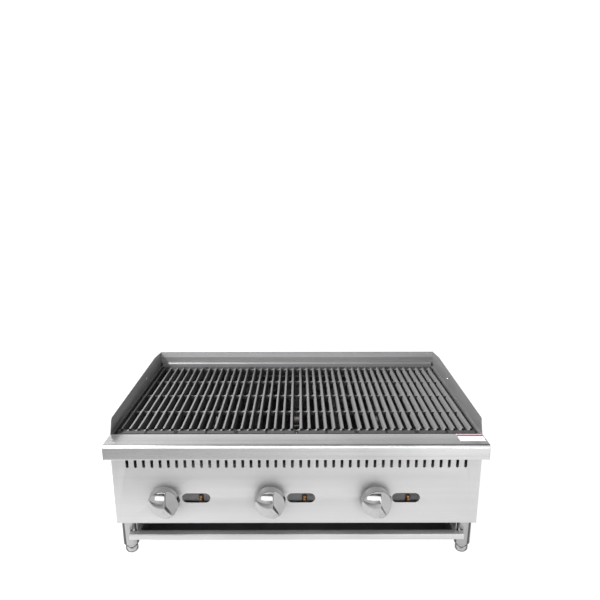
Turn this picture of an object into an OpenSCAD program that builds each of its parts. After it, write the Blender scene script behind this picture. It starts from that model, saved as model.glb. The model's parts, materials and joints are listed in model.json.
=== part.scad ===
// Countertop gas radiant charbroiler: three U burners, six cast-iron grates, drip tray, four legs.
// Frame: +Z up, -Y towards the cook, origin on the counter under the middle of the overall box.

/* [Overall size] */
// Overall width across the side panels and the front rail
overall_w = 914; // [910:1:920]
// Overall depth from the rail's nose to the end of the gas inlet
overall_d = 701; // [695:1:720]
// Overall height from the counter to the highest point of the splash guards
overall_h = 393; // [390:1:400]
// Height of the bottom of the body above the counter
base_z = 102; // [100:1:104]
// Thickness of the outer sheets
sheet = 1.5; // [1.2:0.1:2]
// Thickness of the inner sheets
liner_t = 1.2; // [1:0.1:1.5]

/* [Front rail and splash guards] */
// Height of the ledge on top of the front rail
ledge_z = 341; // [340:1:342]
// Depth of the ledge from the nose to the grates
ledge_d = 73; // [72:1:74]
// Height of the rail's front face
rail_face_h = 37; // [30:1:40]
// How far the rail stands in front of the control panel
rail_overhang = 57; // [56:1:58]
// Radius of the rail's nose
nose_r = 9; // [4:1:10]
// Height of the front corner of the side splash guards
corner_z = 377; // [374:1:382]
// Height of the top of the back guard
guard_z = 386; // [384:1:388]
// Height of the fold where the back guard steps forward
fold_z = 352; // [350:1:356]

/* [Control panel] */
// Number of vent slots
vent_count = 42; // [20:1:44]
// Distance between vent slots
vent_pitch = 20.4; // [18:0.1:20.5]
// Width of a vent slot
vent_w = 7; // [5:0.5:9]
// Length of a vent slot
vent_len = 36; // [24:1:38]
// Length of a pilot lighting window
window_len = 71; // [60:1:72]
// Height of a pilot lighting window
window_h = 26; // [20:1:28]

/* [Knobs] */
// Radius of a knob's skirt
knob_r = 38.7; // [30:0.1:39]
// Depth of a knob from back to front
knob_depth = 43; // [36:1:43]
// Space between the control panel and a knob
knob_gap = 13; // [2:1:13]
// Angle of the knob's grip from upright
knob_tilt = 30; // [0:1:45]

/* [Grates] */
// Distance between the middles of neighbouring grates
grate_pitch = 149.4; // [148:0.1:149.4]
// Bars in each grate
bar_count = 7; // [5:1:7]
// Distance between bars
bar_pitch = 20.9; // [20:0.1:21]
// Width of a bar at the top
bar_w = 5; // [4:0.5:6]
// Width of a bar at the bottom
bar_foot_w = 11; // [8:0.5:12]
// Height of a grate
grate_h = 24; // [22:1:26]

/* [Burners and gas] */
// Height of the valves and the burner tubes
gas_z = 174; // [172:1:180]
// Distance between neighbouring burner tubes
tube_pitch = 131.6; // [128:0.2:132]
// Radius of a burner tube
tube_r = 20.6; // [18:0.1:20.6]
// Radius of the gas pipes: 13.35 is three-quarter inch pipe, 10.65 half inch
pipe_r = 13.35; // [10.65:0.05:13.35]

/* [Legs and drip tray] */
// Radius of a leg tube
leg_r = 20.5; // [18:0.5:20.5]
// Radius of a foot
foot_r = 16.5; // [14:0.5:17]
// Height of the visible part of a foot
foot_h = 23; // [20:1:25]
// Height of the drip tray's rim
tray_rim_z = 69; // [66:1:72]
// Depth of the drip tray
tray_depth = 29; // [20:1:32]

/* [Hidden] */
$fn = 48;

// Clearance between pieces that move past each other
gap = 0.3;
half_w = overall_w / 2;
inner_w = half_w - sheet;
inlet_proud = 25;
front = -overall_d / 2;
back = overall_d / 2 - inlet_proud;
panel_y = front + rail_overhang;
ledge_back = front + ledge_d;
rail_bottom = ledge_z - rail_face_h;
foot_y = front + 70;

// Firebox
baffle_y = ledge_back + 1.2;
baffle_low_y = front + 135;
liner_x = inner_w - 5;
liner_low_x = 415.5;
slope_top_z = 312;
slope_low_z = 278;
guard_y = back - 12;
liner_back_y = back - 20;

// Grates
grate_count = 6;
grate_top = ledge_z + 4;
grate_bottom = grate_top - grate_h;
grate_front = front + 98.5;
grate_back = front + 628;
apron_front = ledge_back + 3.5;
apron_back = liner_back_y - 2.5;
rest_w = 25;
rib_w = 8;
rib_rows = 5;
rib_drop = 2;
rib_dip = 4;

// Burners: each has a fed tube and a return tube, and the six tubes are evenly spaced
burner_x = [for (i = [0:2]) (2 * i - 2.5) * tube_pitch];
tube_front = front + 112;
return_front = front + 152;
bend_y = front + 528;
tube_wall = 1.5;

// Gas train
manifold_y = front + 80;
manifold_z = gas_z - 32;
supply_x = 434;
valve_front = front + 62;
valve_back = front + 98;
stem_r = 4;
window_dx = 77;
pilot_dx = 86;
pilot_y = front + 156;
thread_len = 20;
pipe_wall = 2.85;

// Legs
leg_x = half_w - leg_r - 0.5;
leg_y = [front + 98, back - 46];
leg_bottom = foot_h + gap;
insert_top = 40;
foot_stud_r = 8;
bolt_r = 6;

// Drip tray and its runners
tray_x = 405;
flange_x = 411.8;
runner_x = 412.6;
tray_front = front + 79.5;
lip_front = front + 58.5;
lip_x = 430;
lip_h = 16;
tray_back = front + 640;

// ---------- helpers ----------

// Extrudes a shape drawn as [y, z] along X, from x0 for t
module yz(x0, t) {
  translate([x0, 0, 0]) rotate([90, 0, 90]) linear_extrude(t) children();
}

// Extrudes a shape drawn as [x, z] along Y, from y0 for t
module xz(y0, t) {
  translate([0, y0 + t, 0]) rotate([90, 0, 0]) linear_extrude(t) children();
}

// A cylinder along Y
module rod_y(x, y0, y1, z, r, fn = 48) {
  translate([x, y0, z]) rotate([-90, 0, 0]) cylinder(r = r, h = y1 - y0, $fn = fn);
}

// A flat slot with round ends, centred, long along its first axis
module obround(len, wide) {
  square([len - wide, wide], center = true);
  for (s = [-1, 1]) translate([s * (len - wide) / 2, 0]) circle(d = wide, $fn = 32);
}

// Points of an arc
function arc(c, r, a0, a1, n = 8) = [
  for (i = [0:n]) let (a = a0 + (a1 - a0) * i / n) c + r * [cos(a), sin(a)]
];

// A bent sheet: its face's line, thickened to the left of the line's direction
function left_of(a, b) = let (d = b - a) [-d[1], d[0]] / norm(d);
function mitre(p, i, t) =
  i == 0 ? p[0] + t * left_of(p[0], p[1])
  : i == len(p) - 1 ? p[i] + t * left_of(p[i - 1], p[i])
  : let (m = left_of(p[i - 1], p[i]) + left_of(p[i], p[i + 1])) p[i] + m * 2 * t / (m * m);
function bent(p, t) = concat(p, [for (i = [len(p) - 1:-1:0]) mitre(p, i, t)]);

module flip_if(wanted) {
  if (wanted) mirror([1, 0, 0]) children();
  else children();
}

// ---------- body sheets ----------

// Right side panel: plain up to the ledge, then the splash guard, which rises a little towards the back
module side_panel() {
  corner_y = front + 87;
  peak_y = back - 95;
  corner_r = 10;
  slant = atan2(corner_z - ledge_z, corner_y - foot_y);
  rise = atan2(overall_h - corner_z, peak_y - corner_y);
  tangent = corner_r * tan((slant - rise) / 2) * [cos(rise), sin(rise)];
  corner_c = [corner_y, corner_z] + tangent + corner_r * [sin(rise), -cos(rise)];
  outline = concat(
    [[back, base_z], [back, guard_z], [back - 6, guard_z], [peak_y, overall_h]],
    arc(corner_c, corner_r, 90 + rise, 90 + slant), [[foot_y, ledge_z]],
    [[foot_y, ledge_z - sheet], [panel_y + sheet, ledge_z - sheet], [panel_y + sheet, base_z]]
  );
  color("silver") yz(inner_w, sheet) polygon(outline);
}

module rear_panel() {
  color("silver") xz(back - sheet, sheet) difference() {
    translate([-inner_w, base_z]) square([2 * inner_w, guard_z - base_z]);
    translate([supply_x, manifold_z]) circle(r = pipe_r + 1.5);
  }
}

// Back guard and rear firebox wall in one bent sheet: the guard's top band leans back a little, and its
// lower band stands up between two flush end strips, above the step to the firebox wall
module rear_liner() {
  band_z = guard_z - 15;
  face = [
    [back - sheet, guard_z], [guard_y + 2, guard_z], [guard_y, band_z], [guard_y, fold_z],
    [liner_back_y, fold_z - 3], [liner_back_y, base_z + 4]
  ];
  strip_w = inner_w - liner_x;
  color("silver") {
    difference() {
      yz(-liner_x, 2 * liner_x) polygon(bent(face, liner_t));
      rod_y(supply_x, liner_back_y - 5, liner_back_y + 5, manifold_z, pipe_r + 1.5);
    }
    for (x = [-inner_w, liner_x]) yz(x, strip_w) polygon(bent([
      [back - sheet, guard_z], [guard_y + 2, guard_z], [guard_y, band_z], [guard_y, fold_z]
    ], liner_t));
  }
}

// Control panel with vent slots, stem holes, pilot lighting windows and a bottom flange
module front_panel() {
  vent_bottom = 257;
  color("gainsboro") {
    xz(panel_y, sheet) difference() {
      translate([-half_w, base_z]) square([overall_w, ledge_z - sheet - base_z]);
      for (i = [0:vent_count - 1])
        translate([(i - (vent_count - 1) / 2) * vent_pitch, vent_bottom + vent_len / 2])
          rotate(90) obround(vent_len, vent_w);
      for (x = burner_x) {
        translate([x, gas_z]) circle(r = 7);
        translate([x + window_dx, gas_z]) obround(window_len, window_h);
      }
    }
    translate([-inner_w, panel_y, base_z]) cube([2 * inner_w, 20, sheet]);
  }
}

// Bullnose rail: full width as far back as the splash guards, closed at both ends in front of the panel,
// with a ledge that ends in a lip between the guards
module front_rail() {
  bull = concat(
    arc([front + nose_r, ledge_z - nose_r], nose_r, 90, 180),
    [[front, rail_bottom], [panel_y, rail_bottom]]
  );
  ledge = [[ledge_back, ledge_z - 10], [ledge_back, ledge_z], [foot_y - 2, ledge_z]];
  color("silver") {
    yz(-half_w, overall_w) polygon(bent(concat([[foot_y, ledge_z]], bull), sheet));
    yz(-inner_w, 2 * inner_w) polygon(bent(ledge, sheet));
    for (x = [-half_w, inner_w]) yz(x, sheet) polygon(concat([[panel_y, ledge_z]], bull));
  }
}

// ---------- firebox ----------

// Right firebox wall: a straight collar beside the grates, then a slope in to the tray's width
module side_liner() {
  top = [[inner_w, ledge_z], [liner_x, ledge_z], [liner_x, slope_top_z]];
  low = [
    [liner_x, slope_top_z + 8], [liner_x, slope_top_z], [liner_low_x, slope_low_z], [liner_low_x, base_z + 4]
  ];
  color("darkgray") {
    xz(ledge_back + 2.6, guard_y - ledge_back - 4) polygon(bent(top, liner_t));
    xz(baffle_low_y + liner_t, liner_back_y - baffle_low_y - 2 * liner_t - 1) polygon(bent(low, liner_t));
  }
}

// Front firebox wall: drops behind the ledge, slopes back and shields the valves
module front_baffle() {
  face = [[baffle_y, ledge_z - 3], [baffle_y, 290], [baffle_low_y, 262], [baffle_low_y, base_z + 5]];
  color("darkgray") difference() {
    yz(-liner_x + 1, 2 * liner_x - 2) polygon(bent(face, liner_t));
    for (x = burner_x) {
      rod_y(x, front + 130, front + 140, gas_z, tube_r + 0.9);
      rod_y(x + pilot_dx, front + 130, front + 140, manifold_z + 21, 4.5);
    }
    rod_y(supply_x, front + 130, front + 140, manifold_z, pipe_r + 1.5);
  }
}

// Welded bottom frame: a ring of plate with a bolt hole over each leg
module base_frame() {
  plate = 3;
  lip = 15;
  y0 = panel_y + 21;
  y1 = back - sheet;
  hole_y0 = y0 + 9;
  hole_y1 = y1 - 19;
  color("dimgray") difference() {
    union() {
      translate([-inner_w, y0, base_z]) cube([2 * inner_w, y1 - y0, plate]);
      translate([-inner_w, y0, base_z]) cube([2 * inner_w, 2, lip]);
      translate([-inner_w, y1 - 2, base_z]) cube([2 * inner_w, 2, lip]);
    }
    translate([-runner_x, hole_y0, base_z - 1]) cube([2 * runner_x, hole_y1 - hole_y0, plate + 2]);
    for (s = [-1, 1], y = leg_y) translate([s * leg_x, y, base_z - 1])
      cylinder(r = bolt_r + 0.5, h = plate + 2);
  }
}

// Angle bar that a row of grates rests on; its upright stops short of the sloped side walls
module grate_rest(y0, face_back) {
  t = 3;
  top = grate_bottom - gap;
  half = liner_x - 3;
  upright_half = liner_low_x + 12;
  upright_y = face_back ? y0 + rest_w - t : y0;
  color("gray") {
    translate([-half, y0, top - t]) cube([2 * half, rest_w, t]);
    translate([-upright_half, upright_y, top - rest_w]) cube([2 * upright_half, t, rest_w]);
  }
}

// Bars across the firebox: two under the burners and two under the ends of the radiants
module firebox_crossbars() {
  span = liner_low_x - 4;
  color("gray") {
    for (y = [front + 158, front + 562])
      translate([-span, y, gas_z - tube_r - 6.2]) cube([2 * span, 18, 6]);
    for (y = [baffle_low_y + 2, liner_back_y - 14])
      translate([-span, y, gas_z + 21]) cube([2 * span, 12, 3]);
  }
}

// U burner: a stainless tube from the air shutter to the rear and back, drilled with flame ports
module burner(x) {
  port_r = 1.6;
  port_pitch = 24;
  ports = floor((bend_y - return_front - 30) / port_pitch);
  module path(r, extra) {
    rod_y(x, tube_front - extra, bend_y, gas_z, r);
    rod_y(x + tube_pitch, return_front + (extra > 0 ? tube_wall : 0), bend_y, gas_z, r);
    translate([x + tube_pitch / 2, bend_y, gas_z])
      rotate_extrude(angle = 180) translate([tube_pitch / 2, 0]) circle(r = r);
  }
  color("lightsteelblue") difference() {
    path(tube_r, 0);
    path(tube_r - tube_wall, 1);
    for (i = [0:ports - 1], leg = [0, 1])
      translate([x + leg * tube_pitch, return_front + 24 + i * port_pitch, gas_z + 6])
        rotate([0, 90, 0]) cylinder(r = port_r, h = 2 * tube_r + 2, center = true, $fn = 16);
  }
}

// Inverted-V radiant over one burner tube, with a row of slots in each wing
module radiant(i) {
  half = 56;
  low = gas_z + 25.4;
  peak = 262;
  x = (i - 2.5) * tube_pitch;
  y0 = baffle_low_y + 4;
  y1 = liner_back_y - 3;
  slots = 9;
  color("slategray") difference() {
    xz(y0, y1 - y0) polygon(bent([[x + half, low], [x, peak], [x - half, low]], 2));
    for (k = [0:slots - 1], s = [-1, 1])
      translate([x + s * half * 0.62, y0 + 40 + k * (y1 - y0 - 80) / (slots - 1), low + 20])
        cube([24, 6, 50], center = true);
  }
}

// Cast-iron grate: wedge-shaped bars, scalloped cross ribs, and a sloped apron at each end
module grate(i) {
  x = (i - (grate_count - 1) / 2) * grate_pitch;
  half = grate_pitch / 2 - 0.2;
  bars = [for (k = [0:bar_count - 1]) x + (k - (bar_count - 1) / 2) * bar_pitch];
  rib_step = (grate_back - grate_front - rib_w) / (rib_rows - 1);
  rib_z = grate_top - rib_drop;
  color([0.2, 0.2, 0.21]) {
    for (bar = bars) translate([bar, 0, 0])
      xz(grate_front, grate_back - grate_front) polygon([
        [-bar_foot_w / 2, grate_bottom], [bar_foot_w / 2, grate_bottom],
        [bar_w / 2, grate_top], [-bar_w / 2, grate_top]
      ]);
    for (r = [0:rib_rows - 1]) {
      end = r == 0 || r == rib_rows - 1;
      foot = grate_bottom + (end ? 0 : 8);
      xz(grate_front + r * rib_step, rib_w) polygon([
        [x + half, foot], [x - half, foot], [x - half, rib_z - rib_dip],
        for (k = [0:bar_count - 1]) each [
          [bars[k] - bar_w / 2, rib_z], [bars[k] + bar_w / 2, rib_z],
          [k < bar_count - 1 ? bars[k] + bar_pitch / 2 : x + half, rib_z - rib_dip]
        ]
      ]);
    }
    for (end = [[grate_front + 3, apron_front], [grate_back - 3, apron_back]])
      yz(x - half, 2 * half) polygon([
        [end[0], rib_z - rib_dip], [end[1], ledge_z - 2], [end[1], ledge_z - 9], [end[0], ledge_z - 12]
      ]);
  }
}

// ---------- gas train ----------

module gas_manifold() {
  left_end = -400;
  right_end = supply_x - 24;
  color("darkgray") {
    difference() {
      union() {
        translate([left_end, manifold_y, manifold_z]) rotate([0, 90, 0])
          cylinder(r = pipe_r, h = right_end - left_end);
        for (x = burner_x) translate([x, manifold_y, manifold_z]) cylinder(r = 11, h = pipe_r + 3);
      }
      translate([left_end + 4, manifold_y, manifold_z]) rotate([0, 90, 0])
        cylinder(r = pipe_r - pipe_wall, h = right_end - left_end);
    }
    translate([left_end - 8, manifold_y, manifold_z]) rotate([0, 90, 0]) cylinder(r = 17, h = 14, $fn = 8);
  }
}

// Elbow from the manifold to the supply pipe
module manifold_elbow() {
  bend = 24;
  color("dimgray") translate([supply_x - bend, manifold_y + bend, manifold_z]) {
    rotate([0, 0, -90]) rotate_extrude(angle = 90) translate([bend, 0]) circle(r = pipe_r + 3.5);
    translate([bend, -1, 0]) rotate([-90, 0, 0]) cylinder(r = pipe_r + 5, h = 9);
    translate([0.1, -bend, 0]) rotate([0, 90, 0]) cylinder(r = pipe_r + 5, h = 6);
  }
}

// Pipe to the back, with a threaded end behind the rear panel
module gas_supply_pipe() {
  y0 = manifold_y + 24 + 8;
  y1 = overall_d / 2;
  color("darkgray") difference() {
    union() {
      rod_y(supply_x, y0, y1 - thread_len, manifold_z, pipe_r);
      rod_y(supply_x, y1 - thread_len, y1, manifold_z, pipe_r - 0.25);
    }
    rod_y(supply_x, y0 - 1, y1 + 1, manifold_z, pipe_r - pipe_wall);
  }
}

// Brass plug valve: inlet neck down to the manifold, stem bore forwards, spud thread rearwards
module gas_valve(x) {
  neck_z = manifold_z + pipe_r + 3;
  color("goldenrod") difference() {
    union() {
      rod_y(x, valve_front, valve_back - 10, gas_z, 12.5);
      rod_y(x, valve_back - 10, valve_back, gas_z, 8);
      translate([x, manifold_y, neck_z]) cylinder(r = 9, h = gas_z - neck_z);
      translate([x, valve_front + 4, gas_z]) cube([38, 8, 16], center = true);
    }
    rod_y(x, valve_front - 1, valve_back - 14, gas_z, stem_r + 0.05);
    for (s = [-1, 1]) rod_y(x + s * 15, valve_front - 1, valve_front + 10, gas_z, 1.7, 16);
  }
}

module valve_stem(x) {
  color("lightgray") difference() {
    rod_y(x, panel_y - knob_gap - 24, valve_back - 16, gas_z, stem_r);
    translate([x - 5, panel_y - knob_gap - 25, gas_z + 2.6]) cube([10, 16, 5]);
  }
}

// Brass hood orifice screwed on each valve, its tip inside the air shutter
module burner_orifices() {
  color("gold") for (x = burner_x) {
    translate([x, valve_back + 7, gas_z]) rotate([90, 0, 0]) cylinder(r = 7.5, h = 7, $fn = 6);
    rod_y(x, valve_back + 7, valve_back + 13, gas_z, 4.5);
  }
}

// Rotating air shutter: a cup on the burner's mouth with windows in its face
module air_shutter(x) {
  y0 = tube_front - 2.5;
  cup_r = tube_r + 2;
  color("silver") difference() {
    rod_y(x, y0, y0 + 18, gas_z, cup_r);
    rod_y(x, y0 + 1.5, y0 + 19, gas_z, tube_r + gap);
    rod_y(x, y0 - 1, y0 + 3, gas_z, 8);
    for (a = [0:90:270]) translate([x, y0 - 1, gas_z]) rotate([-90, a, 0])
      translate([13, 0, 0]) cylinder(r = 3.6, h = 4, $fn = 24);
  }
}

module pilot_valves() {
  color("darkgoldenrod") for (x = burner_x) {
    translate([x + pilot_dx, manifold_y, manifold_z + pipe_r - 0.3]) cylinder(r = 6.5, h = 15, $fn = 6);
    rod_y(x + pilot_dx, manifold_y - 15, manifold_y - 4, manifold_z + 21, 4);
    rod_y(x + pilot_dx, manifold_y + 4, manifold_y + 12, manifold_z + 21, 4.5, 6);
  }
}

// Pilot tube: straight back through the baffle, then up to the pilot burner
module pilot_tubes() {
  r = 3;
  bend = 10;
  y0 = manifold_y + 12;
  y1 = pilot_y - bend;
  z0 = manifold_z + 21;
  color("peru") for (x = burner_x) {
    rod_y(x + pilot_dx, y0, y1, z0, r, 24);
    translate([x + pilot_dx, y1, z0 + bend]) rotate([90, 0, 90]) rotate([0, 0, -90])
      rotate_extrude(angle = 90) translate([bend, 0]) circle(r = r, $fn = 24);
    translate([x + pilot_dx, y1 + bend, z0 + bend]) cylinder(r = r, h = 12, $fn = 24);
  }
}

module pilot_burners() {
  z0 = manifold_z + 43;
  color("gray") for (x = burner_x) translate([x + pilot_dx, pilot_y, z0]) {
    cylinder(r = 5.5, h = 10, $fn = 6);
    translate([0, 0, 10]) cylinder(r1 = 5, r2 = 7, h = 5, $fn = 24);
    translate([-18, -7, 3]) cube([36, 1.5, 9]);
  }
}

// ---------- knobs ----------

// Polished knob: a dome cut by two sloped flats, which leave a pointer bar that fans out behind the middle
module knob(x) {
  bar_half = 8;
  fan = 32;
  fan_y = -3;
  slope = 20;
  flat_z = 28;
  rim_h = 9;
  dome_r = 52;
  far = 60;
  y1 = panel_y - knob_gap;
  fan_x = (far - fan_y) * tan(fan);
  color("whitesmoke") translate([x, y1, gas_z]) rotate([90, 0, 0]) rotate([0, 0, knob_tilt]) difference() {
    intersection() {
      cylinder(r = knob_r, h = knob_depth, $fn = 96);
      translate([0, 0, knob_depth - dome_r]) sphere(r = dome_r, $fn = 96);
      cylinder(r1 = knob_r + 0.5, r2 = knob_r - 2, h = knob_depth + 1, $fn = 96);
    }
    for (s = [-1, 1]) translate([s * bar_half, 0, flat_z]) rotate([0, s * slope, 0])
      linear_extrude(far) polygon([
        [0, -far], [s * far, -far], [s * far, far], [s * fan_x, far], [0, fan_y]
      ]);
    translate([0, 0, -1]) cylinder(r = stem_r, h = 25);
    translate([0, 0, -1]) difference() {
      cylinder(r = knob_r - 4, h = rim_h);
      cylinder(r = 9, h = rim_h);
    }
  }
}

// ---------- legs ----------

module leg(sx, y) {
  wall = 1.5;
  color("silver") translate([sx * leg_x, y, 0]) difference() {
    union() {
      translate([0, 0, leg_bottom]) cylinder(r = leg_r, h = base_z - leg_bottom, $fn = 64);
      translate([0, 0, base_z - 1]) cylinder(r = bolt_r, h = 19);
    }
    translate([0, 0, insert_top]) cylinder(r = leg_r - wall, h = base_z - insert_top - 6);
    translate([0, 0, leg_bottom - 1]) cylinder(r = foot_stud_r + gap, h = insert_top);
  }
}

// Bullet foot: round body with a narrowed sole, and a stud up into the leg
module foot(sx, y) {
  sole = 4;
  color("gray") translate([sx * leg_x, y, 0]) {
    cylinder(r1 = foot_r - 3, r2 = foot_r, h = sole, $fn = 64);
    translate([0, 0, sole]) cylinder(r = foot_r, h = foot_h - sole, $fn = 64);
    translate([0, 0, foot_h - 1]) cylinder(r = foot_stud_r, h = 43);
  }
}

// ---------- drip tray ----------

// Shallow pan with a rim flange, and a front lip folded down as the pull
module drip_tray() {
  t = 1.2;
  floor_z = tray_rim_z - tray_depth;
  lip_back = leg_y[0] - leg_r - 1.3;
  color("silver") {
    difference() {
      union() {
        translate([-tray_x, tray_front, floor_z]) cube([2 * tray_x, tray_back - tray_front, tray_depth]);
        translate([-flange_x, tray_front, tray_rim_z - t]) cube([2 * flange_x, tray_back - tray_front, t]);
      }
      translate([-tray_x + t, tray_front + t, floor_z + t])
        cube([2 * (tray_x - t), tray_back - tray_front - 2 * t, tray_depth]);
    }
    yz(-lip_x, 2 * lip_x) polygon(bent([
      [lip_back, tray_rim_z], [lip_front, tray_rim_z], [lip_front, tray_rim_z - lip_h],
      [lip_front + 8, tray_rim_z - lip_h]
    ], t));
    translate([-flange_x, lip_back - 1, tray_rim_z - t]) cube([2 * flange_x, tray_front - lip_back + 2, t]);
  }
}

// Right runner: a web hung from the bottom frame with a foot under the tray's flange
module tray_runner() {
  y0 = tray_front - 0.5;
  foot_z = tray_rim_z - 1.2 - gap;
  color("darkgray") xz(y0, tray_back - y0) polygon(bent([
    [tray_x + 1.2, foot_z], [runner_x, foot_z], [runner_x, base_z]
  ], -sheet));
}

// ---------- small pieces ----------

// Domed screw head, seated at the origin and standing along +Z
module screw_head(r, h) {
  dome_r = (r * r + h * h) / (2 * h);
  intersection() {
    cylinder(r = r, h = h, $fn = 24);
    translate([0, 0, h - dome_r]) sphere(r = dome_r, $fn = 48);
  }
}

// Rear panel screws, splash guard rivets and the nuts that hold the legs
module fasteners() {
  color("lightgray") {
    for (x = [-440, -220, 0, 220, 440], z = [base_z + 14, guard_z - 16])
      translate([x, back, z]) rotate([-90, 0, 0]) screw_head(4.5, 2.2);
    for (s = [-1, 1]) {
      translate([s * inner_w, front + 452, 362]) rotate([0, -s * 90, 0]) screw_head(3.5, 1.4);
      for (y = leg_y) translate([s * leg_x, y, base_z + 3]) difference() {
        cylinder(r = 10, h = 8, $fn = 6);
        translate([0, 0, -1]) cylinder(r = bolt_r + 0.05, h = 10);
      }
    }
  }
}

// Blank label plate on the ledge
module ledge_label() {
  color("white") translate([392, front + 27, ledge_z]) cube([62, 42, 0.4]);
}

// ---------- assembly ----------

SIDES = ["left", "middle", "right"];
ENDS = [["front_left", -1, 0], ["front_right", 1, 0], ["rear_left", -1, 1], ["rear_right", 1, 1]];

flip_if(true) side_panel();  // left_side_panel
flip_if(false) side_panel();  // right_side_panel
rear_panel();
rear_liner();
front_panel();
front_rail();
flip_if(true) side_liner();  // left_liner
flip_if(false) side_liner();  // right_liner
front_baffle();
base_frame();
grate_rest(grate_front - 2, false);  // grate_rest_front
grate_rest(grate_back - rest_w + 5, true);  // grate_rest_rear
firebox_crossbars();
for (i = [0:5]) radiant(i);
gas_manifold();
manifold_elbow();
gas_supply_pipe();
burner_orifices();
pilot_burners();
pilot_valves();
pilot_tubes();
for (i = [0:2]) {
  burner(burner_x[i]);
  gas_valve(burner_x[i]);
  valve_stem(burner_x[i]);
  air_shutter(burner_x[i]);
  knob(burner_x[i]);
}
for (e = ENDS) {
  leg(e[1], leg_y[e[2]]);
  foot(e[1], leg_y[e[2]]);
}
drip_tray();
flip_if(true) tray_runner();  // tray_runner_left
flip_if(false) tray_runner();  // tray_runner_right
for (i = [0:grate_count - 1]) grate(i);
fasteners();
ledge_label();
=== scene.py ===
"""Looks of a countertop gas charbroiler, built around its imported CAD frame.

Metres, +Z up, -Y towards the cook. Lengths written with MM are millimetres.
"""
import json
import math

import bmesh
import bpy
from mathutils import Matrix, Vector


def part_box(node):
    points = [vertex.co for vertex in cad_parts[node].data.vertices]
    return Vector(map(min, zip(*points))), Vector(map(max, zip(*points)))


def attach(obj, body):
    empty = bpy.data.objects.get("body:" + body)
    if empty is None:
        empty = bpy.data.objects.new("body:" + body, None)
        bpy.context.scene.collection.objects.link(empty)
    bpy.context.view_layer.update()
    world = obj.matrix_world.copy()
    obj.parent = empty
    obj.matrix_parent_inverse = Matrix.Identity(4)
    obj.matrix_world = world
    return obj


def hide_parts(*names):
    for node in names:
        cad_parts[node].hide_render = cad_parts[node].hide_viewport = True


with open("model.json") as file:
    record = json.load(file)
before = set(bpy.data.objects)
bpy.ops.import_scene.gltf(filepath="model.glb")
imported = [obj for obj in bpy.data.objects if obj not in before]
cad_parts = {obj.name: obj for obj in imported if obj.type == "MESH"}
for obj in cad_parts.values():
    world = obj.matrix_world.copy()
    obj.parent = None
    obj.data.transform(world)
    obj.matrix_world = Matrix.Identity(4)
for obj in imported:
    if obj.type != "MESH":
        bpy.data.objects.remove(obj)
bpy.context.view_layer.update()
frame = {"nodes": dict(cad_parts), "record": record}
nodes = frame["nodes"]
scene = bpy.context.scene
MM = 0.001

# ---------- sizes, from the frame ----------

rail_low, rail_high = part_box("front_rail")
panel_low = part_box("front_panel")[0]
guard_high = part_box("right_side_panel")[1]
rear_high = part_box("rear_panel")[1]
tray_low, tray_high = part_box("drip_tray")
HALF_W = rail_high.x
SHEET = 1.5 * MM
INNER_W = HALF_W - SHEET
FRONT = rail_low.y
LEDGE_Z = rail_high.z
LEDGE_BACK = rail_high.y
PANEL_Y = panel_low.y
FOOT_Y = FRONT + 70 * MM
GRATE_FRONT = FRONT + 98.5 * MM
GRATE_BACK = FRONT + 628 * MM
BASE_Z = panel_low.z
TOP_Z = rear_high.z
BACK = rear_high.y
SIDES = ("left", "middle", "right")
ENDS = ("front_left", "front_right", "rear_left", "rear_right")
QUARTER = [math.radians(15 * k) for k in range(7)]


# ---------- mesh helpers ----------

def finish_mesh(bm, name, smooth_angle, bevel=0.0):
    """Closes a bmesh into a linked object, smooth up to an angle, with an optional edge bevel."""
    bmesh.ops.remove_doubles(bm, verts=bm.verts, dist=1e-7)
    bmesh.ops.recalc_face_normals(bm, faces=bm.faces)
    mesh = bpy.data.meshes.new(name)
    bm.to_mesh(mesh)
    bm.free()
    piece = bpy.data.objects.new(name, mesh)
    scene.collection.objects.link(piece)
    if bevel:
        edge = piece.modifiers.new("edge", "BEVEL")
        edge.width = bevel
        edge.segments = 2
        edge.limit_method = "ANGLE"
        edge.angle_limit = math.radians(40)
        edge.harden_normals = True
    mesh.shade_smooth()
    mesh.set_sharp_from_angle(angle=math.radians(smooth_angle))
    return piece


def stand_for(piece, body, slot, *replaced, look=None):
    """Puts a piece on its body, with the material of its look or else of its slot, in place of CAD nodes."""
    piece.data.materials.clear()
    piece.data.materials.append(MATERIALS[look or slot])
    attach(piece, body)
    if replaced:
        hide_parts(*replaced)


def arc(centre, radius, start, end, steps):
    """Points of an arc in a plane, angles in degrees."""
    turns = [math.radians(start + (end - start) * i / steps) for i in range(steps + 1)]
    return [(centre[0] + radius * math.cos(t), centre[1] + radius * math.sin(t)) for t in turns]


def rounded(points, radii, steps=6):
    """An open line with each inner corner rounded to its radius."""
    line = [Vector(points[0])]
    for i in range(1, len(points) - 1):
        before, corner, after = (Vector(points[i + k]) for k in (-1, 0, 1))
        a, b = (before - corner).normalized(), (after - corner).normalized()
        half = a.angle(b) / 2
        reach = radii[i - 1] / math.tan(half)
        centre = corner + (a + b).normalized() * radii[i - 1] / math.sin(half)
        spokes = corner + a * reach - centre, corner + b * reach - centre
        turn = spokes[0].angle_signed(spokes[1])
        for k in range(steps + 1):
            spoke = spokes[0].copy()
            spoke.rotate(Matrix.Rotation(-turn * k / steps, 2))
            line.append(centre + spoke)
    line.append(Vector(points[-1]))
    return line


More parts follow.
